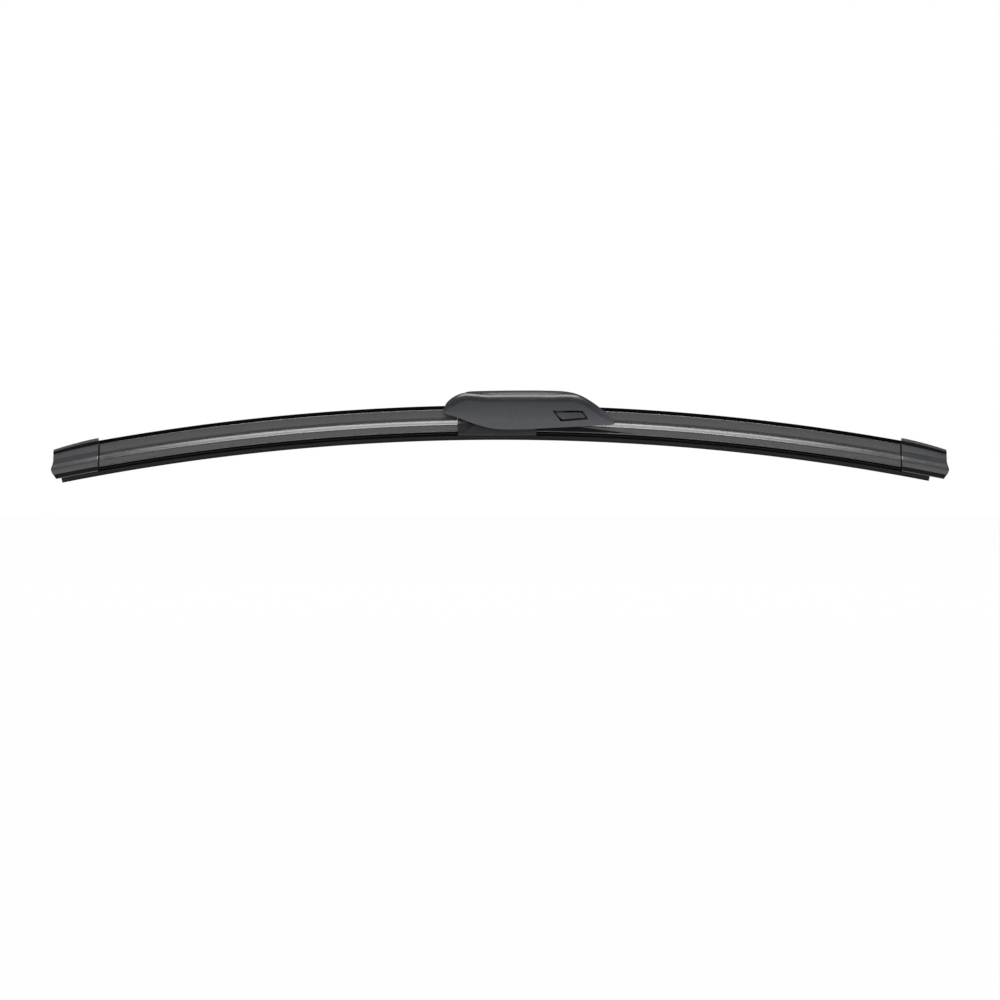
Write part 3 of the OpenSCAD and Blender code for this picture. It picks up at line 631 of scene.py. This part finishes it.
def loft(name, rings, material, paintedShadeSteps=(), paintedShadeMaterial=None):
    n = len(rings[0])
    points = [p for ring in rings for p in ring]
    faces = [(i * n + j, i * n + (j + 1) % n, (i + 1) * n + (j + 1) % n, (i + 1) * n + j)
             for i in range(len(rings) - 1) for j in range(n)]
    faces += [tuple(reversed(range(n))), tuple(range((len(rings) - 1) * n, len(rings) * n))]
    piece = newMesh(name, points, faces, material)
    # painted shade on the steps in the groove and the undercut
    if paintedShadeSteps:
        piece.data.materials.append(paintedShadeMaterial)
        for k in range((len(rings) - 1) * n):
            piece.data.polygons[k].material_index = int(k % n in paintedShadeSteps)
    bm = bmesh.new()
    bm.from_mesh(piece.data)
    bmesh.ops.triangulate(bm, faces=[f for f in bm.faces if len(f.verts) > 4])
    bmesh.ops.recalc_face_normals(bm, faces=bm.faces)
    bm.to_mesh(piece.data)
    bm.free()
    return piece


def endCap(name, mirrored):
    outline = capOutline()
    places = [0.012, 0.03, 0.08, 0.14, 0.2, 0.28, 0.36, 0.44, 0.52, 0.6, 0.68, 0.76, 0.82, 0.88, 0.92,
              0.955, 0.98]
    rings = [capRing(outline, 0, 0, cap["rim"]), capRing(outline, 0.004, 0, cap["rim"] * 0.3)]
    rings += [capRing(outline, t) for t in places]
    rings += [capRing(outline, 0.995, s) for s in (0.012, 0.035, 0.07, 0.12)]
    piece = loft(name, rings, capLook, recessed(outline), paintedShadeLook)
    start = blade["capInner"] - 5
    inner = softCorners(spoilerSection(2 * gap), 0.2, 2)
    cut(piece, extrusion("pocket", [inner], start, blade["spoilerEnd"] + 0.3, capLook, 14))
    slot = [(0, clawLip)] + tunnelPoints()[1:]
    slot = slot + [(h, -y) for h, y in reversed(slot)]
    cut(piece, extrusion("channel", [slot], start, blade["half"] - cap["solid"], capLook, 18))
    if mirrored:
        bm = bmesh.new()
        bm.from_mesh(piece.data)
        for v in bm.verts:
            v.co.x = -v.co.x
        bmesh.ops.reverse_faces(bm, faces=bm.faces)
        bm.to_mesh(piece.data)
        bm.free()
    tidyFaces(piece)
    smoothShade(piece, 35)
    return piece


finishPiece(endCap("capLeft", True), "blade", "left_end_cap")
finishPiece(endCap("capRight", False), "blade", "right_end_cap")
print("end caps made")


# Adapter cover

cover = {
    "top": [(-34.4, 18.9), (-32.4, 22.6), (-28.6, 26.4), (-21.6, 29.1), (-9, 29.85), (12, 30.1), (29, 30),
            (41, 29.3), (50.3, 26.55), (60.6, 19.9), (67, 14.2), (69.5, 10.9)],
    "foot": [(-34.2, 17.1), (-32.2, 15.6), (-25.5, 13.5), (-14.5, 9.4), (-2.5, 6.6), (14, 6.4), (28, 7.1),
             (42, 7.8), (53, 8.3), (62, 8.8), (67.4, 9.1), (69.4, 9.6)],
    "tuck": [1.4, 0.8, 0.3, 0.05, 0, 0, 0, 0.1, 0.3, 0.7, 1.1, 1.3],
    "width": 20.0, "wall": 1.6, "shoulder": 6.6, "innerShoulder": 3.9, "crown": 1.8, "innerCrown": 0.7,
    "lean": 7, "roofAngle": 66, "footTuck": 0.35, "mouth": 20.5, "socket": 9.4, "fork": 46.5,
    "forkWidth": 7.2, "forkRoof": 16.2,
}
tab = {"left": 32.5, "length": 17.2, "top": 17.1, "height": 5.2, "slant": 4.8, "narrow": 1.5, "rise": 1.2,
       "groove": 1.0}


def tuckAt(t):
    return smoothCurve([(v, 0) for v in cover["tuck"]], t)[0]


def coverHalf(t, wall):
    top, foot = smoothCurve(cover["top"], t), smoothCurve(cover["foot"], t)
    rib = top - foot
    width = cover["width"] / 2 - tuckAt(t) - wall
    high = top - rib * min((wall + 0.02) / rib.y, 0.5)
    rib = high - foot
    tall = rib.y
    shoulder = cover["innerShoulder"] if wall else cover["shoulder"]
    crown = cover["innerCrown"] if wall else cover["crown"]
    crown = min(crown * clamp(min((t - 3) / 1.1, (7.7 - t) / 1.4), 0.02, 1), 0.2 * tall)  # fades at both ends
    r = min(shoulder, tall * 0.6)
    leaning = math.radians(cover["lean"])
    start = crown + r * (1 - math.sin(leaning))
    wide = mix(start, tall, 0.45)
    lean = math.tan(leaning) * (wide - start) / 2
    edge = width - lean + r * (1 - math.cos(leaning))
    drops = []
    for k in range(15):  # round the shoulder up to the roof
        a = mix(leaning, math.radians(cover["roofAngle"]), k / 14)
        drops.append((edge - r * (1 - math.cos(a)), crown + r * (1 - math.sin(a))))
    reach, drop = drops[-1]
    power = max(1.6, math.tan(math.radians(90 - cover["roofAngle"])) * reach / drop)
    drops += [(reach * s, drop * s ** power) for s in (0.88, 0.76, 0.64, 0.5, 0.36, 0.22, 0.1)]
    tuck = min(cover["footTuck"], 0.2 * tall)
    side = [(width - tuck * s * s, mix(wide, tall, s)) for s in (1, 0.97, 0.9, 0.75, 0.55, 0.35, 0.15)]
    side += [(width - lean * s * s, mix(wide, start, s)) for s in (0.05, 0.25, 0.45, 0.65, 0.85)]
    out = []
    for across, down in side + drops:
        p = high - rib * down / tall
        out.append((p.x, across, p.y))
    return out, (high.x, 0, high.y)


def coverRing(t, wall=0.0):
    half, peak = coverHalf(t, wall)
    place = lambda p, side: Vector((p[0], side * p[1], p[2] - blade["seatHeight"])) * mm
    return [place(p, -1) for p in half] + [place(peak, 0)] + [place(p, 1) for p in reversed(half)]


def coverShell():
    last = len(cover["top"]) - 1
    count = 120
    places = [last * k / count for k in range(count + 1)]
    rings = []
    for t in places:
        outer, inner = coverRing(t), coverRing(t, cover["wall"])
        rings.append(outer + list(reversed(inner)))
    n = len(rings[0])
    k = n // 2
    points = [p for ring in rings for p in ring]
    faces = [(i * n + j, i * n + (j + 1) % n, (i + 1) * n + (j + 1) % n, (i + 1) * n + j)
             for i in range(len(rings) - 1) for j in range(n)]
    for j in range(k - 1):
        faces.append((j, n - 1 - j, n - 2 - j, j + 1))
        base = (len(rings) - 1) * n
        faces.append((base + j, base + j + 1, base + n - 2 - j, base + n - 1 - j))
    return outward(newMesh("adapterCover", points, faces, coverLook))


def prism(name, outline, low, high, axis, material):  # an outline pushed along y or z, in millimetres
    n = len(outline)
    seat = blade["seatHeight"]
    if axis == "y":
        points = [(x, y, h - seat) for y in (low, high) for x, h in outline]
    else:
        points = [(x, y, z) for z in (low, high) for x, y in outline]
    faces = [(j, (j + 1) % n, n + (j + 1) % n, n + j) for j in range(n)]
    faces += [tuple(reversed(range(n))), tuple(range(n, 2 * n))]
    return outward(newMesh(name, [Vector(p) * mm for p in points], faces, material))


def rectangle(x0, x1, y0, y1):
    return [(x0, y0), (x1, y0), (x1, y1), (x0, y1)]


def buttonCorners(grow):
    low, right = tab["top"] - tab["height"], tab["left"] + tab["length"]
    return [(tab["left"] - grow, tab["top"] + grow), (right + grow * 0.6, tab["top"] + grow),
            (right + tab["slant"] - tab["narrow"] + grow, low + tab["rise"] - grow),
            (tab["left"] + tab["slant"] - grow * 0.6, low - grow)]


def makeCover():
    piece = coverShell()
    socket = cover["socket"] / 2 + 0.4
    gape = clawEdge + 1
    tail = cover["top"][-1][0] + 10
    fork, half = cover["fork"], cover["forkWidth"] / 2
    edge = [(tail, gape), (fork + 13.5, gape), (fork + 5.5, half + 1), (fork + 1.5, half), (fork, half - 1.6)]
    slot = [(tail, half + 0.4), (fork + 1.5, half), (fork, half - 1.6)]
    bothSides = lambda line: softCorners([(x, -y) for x, y in line] + list(reversed(line)), 0.8, 3)
    mouth = softCorners(rectangle(-45, -cover["mouth"], -socket, socket), 1.2, 4)
    passage = rectangle(-45, -blade["baseLeft"], -clawEdge - 0.7, clawEdge + 0.7)
    overSpoiler, roof = spoiler["top"] + 0.4 - blade["seatHeight"], cover["forkRoof"] - blade["seatHeight"]
    cutters = [
        prism("mouthCut", mouth, -23.2, 20, "z", coverLook),
        prism("spoilerCut", passage, -23, overSpoiler, "z", coverLook),
        prism("forkCut", bothSides(edge), -23, roof, "z", coverLook),
        prism("slotCut", bothSides(slot), -23.5, 18, "z", coverLook),
    ]
    button = softCorners(buttonCorners(tab["groove"] / 2 + 0.15), 0.5, 5)
    for side in (-1, 1):
        low, high = sorted((side * (cover["width"] / 2 + 1), side * (cover["width"] / 2 - 3.2)))
        cutters.append(prism("buttonCut", button, low, high, "y", coverLook))
    for cutter in cutters:
        cut(piece, cutter)
    tidyFaces(piece)
    smoothShade(piece, 38)
    return piece


finishPiece(makeCover(), "adapter", "adapter_cover")
print("adapter cover made")


# Smaller mouldings: the CAD solid's own shape with softened edges

def softened(name, node, material, width):
    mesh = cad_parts[node].data.copy()
    mesh.name = name
    mesh.materials.clear()
    mesh.materials.append(material)
    piece = bpy.data.objects.new(name, mesh)
    scene.collection.objects.link(piece)
    bm = bmesh.new()
    bm.from_mesh(mesh)
    bmesh.ops.remove_doubles(bm, verts=bm.verts, dist=0.003 * mm)
    bmesh.ops.dissolve_limit(bm, angle_limit=math.radians(1.0), verts=bm.verts, edges=bm.edges)
    bm.to_mesh(mesh)
    bm.free()
    bevel = piece.modifiers.new("soft", "BEVEL")
    bevel.width, bevel.segments, bevel.limit_method = width * mm, 2, "ANGLE"
    bevel.angle_limit = math.radians(35)
    bevel.use_clamp_overlap = True
    bakeModifiers(piece)
    smoothShade(piece, 40)
    return piece


for name, node, material, width, body, slotName in (
        ("connectorBase", "connector_base", baseLook, 0.2, "blade", "base_plastic"),
        ("adapterBody", "adapter_body", innerLook, 0.15, "adapter", "inner_plastic"),
        ("nearReleaseTab", "near_release_tab", tabLook, 0.22, "near_tab", "tab_plastic"),
        ("farReleaseTab", "far_release_tab", tabLook, 0.22, "far_tab", "tab_plastic")):
    finishPiece(softened(name, node, material, width), body, node)
for node, material in (("near_rail", steelLook), ("far_rail", steelLook), ("pivot_pin", pinLook)):
    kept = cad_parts[node]
    kept.data.materials.clear()
    kept.data.materials.append(material)
print("mouldings made")


# Studio

studio = {"pixel": 0.6081, "centreRow": 500, "edgeRow": 439.9, "middleRow": 437, "lens": 250, "sensor": 36,
          "floorDrop": 120, "floorSize": 9, "roomLight": 0.25, "ceiling": 0.05, "backdropTop": 0.05}


def whiteToCamera(nodes, link):  # 1 for the rays that should see a white surround
    path = nodes.new("ShaderNodeLightPath")
    seen = mathNode(nodes, link, "MAXIMUM", path.outputs["Is Camera Ray"], path.outputs["Is Glossy Ray"])
    return mathNode(nodes, link, "MAXIMUM", seen, path.outputs["Is Transmission Ray"])


def makeWorld():  # a dim room in front, and a white backdrop behind that reaches up to a height
    world = bpy.data.worlds.new("whiteStudio")
    scene.world = world
    world.use_nodes = True
    nodes, link = world.node_tree.nodes, world.node_tree.links.new
    sky = nodes["Background"]
    sky.inputs["Color"].default_value = (1, 1, 1, 1)
    place, parts, path = (nodes.new(kind) for kind in (
        "ShaderNodeTexCoord", "ShaderNodeSeparateXYZ", "ShaderNodeLightPath"))
    link(place.outputs["Generated"], parts.inputs[0])
    behind = rangeNode(nodes, link, parts.outputs["Y"], -0.05, 0.15, 0, 1)
    top = studio["backdropTop"]
    low = rangeNode(nodes, link, parts.outputs["Z"], top - 0.08, top, 1, 0)
    mirrored = mathNode(nodes, link, "MULTIPLY", path.outputs["Is Glossy Ray"],
                        mathNode(nodes, link, "MULTIPLY", behind, low))
    seen = mathNode(nodes, link, "MAXIMUM", path.outputs["Is Camera Ray"],
                    path.outputs["Is Transmission Ray"])
    white = mathNode(nodes, link, "MAXIMUM", seen, mirrored)
    room = rangeNode(nodes, link, path.outputs["Is Glossy Ray"], 0, 1, studio["roomLight"], studio["ceiling"])
    link(mathNode(nodes, link, "MAXIMUM", white, room), sky.inputs["Strength"])


def makeFloor():
    material, nodes, link = nodeMaterial("paleFloor")
    shader = nodes["Principled BSDF"]
    shader.inputs["Base Color"].default_value = (0.8, 0.8, 0.8, 1)
    shader.inputs["Roughness"].default_value = 0.9
    glow, blend = nodes.new("ShaderNodeEmission"), nodes.new("ShaderNodeMixShader")
    glow.inputs["Strength"].default_value = 1
    link(mathNode(nodes, link, "MULTIPLY", whiteToCamera(nodes, link), 0.985), blend.inputs[0])
    link(shader.outputs[0], blend.inputs[1])
    link(glow.outputs[0], blend.inputs[2])
    link(blend.outputs[0], nodes["Material Output"].inputs["Surface"])
    s, z = studio["floorSize"] / 2, -studio["floorDrop"] * mm
    floor = newMesh("studioFloor", [(-s, -s, z), (s, -s, z), (s, s, z), (-s, s, z)], [(0, 1, 2, 3)], material)


def softbox(name, place, target, width, height, power, mirrored=True):
    light = bpy.data.lights.new(name, "AREA")
    light.shape, light.size, light.size_y, light.energy = "RECTANGLE", width, height, power
    lamp = bpy.data.objects.new(name, light)
    scene.collection.objects.link(lamp)
    lamp.location = place
    lamp.visible_glossy = mirrored
    lamp.rotation_euler = (Vector(target) - Vector(place)).to_track_quat("-Z", "Y").to_euler()


def makeCamera():
    data = bpy.data.cameras.new("camera")
    data.lens, data.sensor_width = studio["lens"], studio["sensor"]
    frameWidth = 1000 * studio["pixel"] * mm
    distance = frameWidth / 2 / (studio["sensor"] / 2 / studio["lens"])
    level = (studio["edgeRow"] - studio["middleRow"]) * studio["pixel"] - blade["seatHeight"]
    data.shift_y = -(studio["centreRow"] - studio["middleRow"]) / 1000
    data.clip_end = 100
    camera = bpy.data.objects.new("camera", data)
    scene.collection.objects.link(camera)
    camera.location = (0, -distance, level * mm)
    camera.rotation_euler = (math.radians(90), 0, 0)
    scene.camera = camera


makeWorld()
makeFloor()
softbox("overheadSoftbox", (0, 0.2, 1.0), (0, 0.2, 0), 0.8, 0.5, 9)
softbox("frontFill", (0, -4.8, 1.1), (0, 0, 0), 3.2, 1.9, 20)
softbox("highKey", (0, -1.9, 2.3), (0, 0, 0), 2.4, 1.2, 36, mirrored=False)
makeCamera()
scene.view_settings.view_transform = "Standard"
print("studio made")
